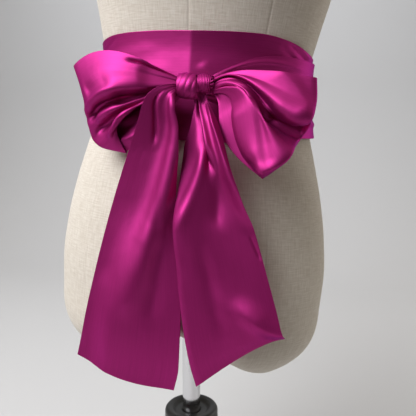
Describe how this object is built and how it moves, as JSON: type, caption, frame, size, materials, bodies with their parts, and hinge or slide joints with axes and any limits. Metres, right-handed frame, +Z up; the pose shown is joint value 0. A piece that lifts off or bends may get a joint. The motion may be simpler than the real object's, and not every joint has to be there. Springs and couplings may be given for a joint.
{
  "type": "satin sash on a dress form",
  "caption": "Wide satin sash wound round the waist of a limbless linen dress form and tied in a front bow with two loops and two long tails, on a short round stand",
  "frame": {"origin": "centre of the base's underside, on the pole's axis", "axes": "+Z up along the pole, -Y out of the front of the form and the bow, +X to the viewer's right when facing the front"},
  "size_m": [0.3851, 0.3, 1.0623],
  "materials": {
    "satin": "magenta woven satin, glossy face, pressed and soft",
    "linen": "natural linen cover, plain weave with slubs",
    "chrome": "polished chrome-plated steel",
    "plastic": "moulded black plastic, satin gloss"
  },
  "bodies": {
    "root": {"sash_front": "satin", "sash_return_right": "satin", "sash_return_left": "satin", "bow_loop_left": "satin", "bow_loop_right": "satin", "knot_wrap_left": "satin", "knot_wrap_right": "satin", "tail_left": "satin", "tail_right": "satin", "dress_form": "linen", "stand_pole": "chrome", "stand_hub": "plastic", "stand_tube": "chrome", "stand_base": "chrome"}
  },
  "joints": []
}
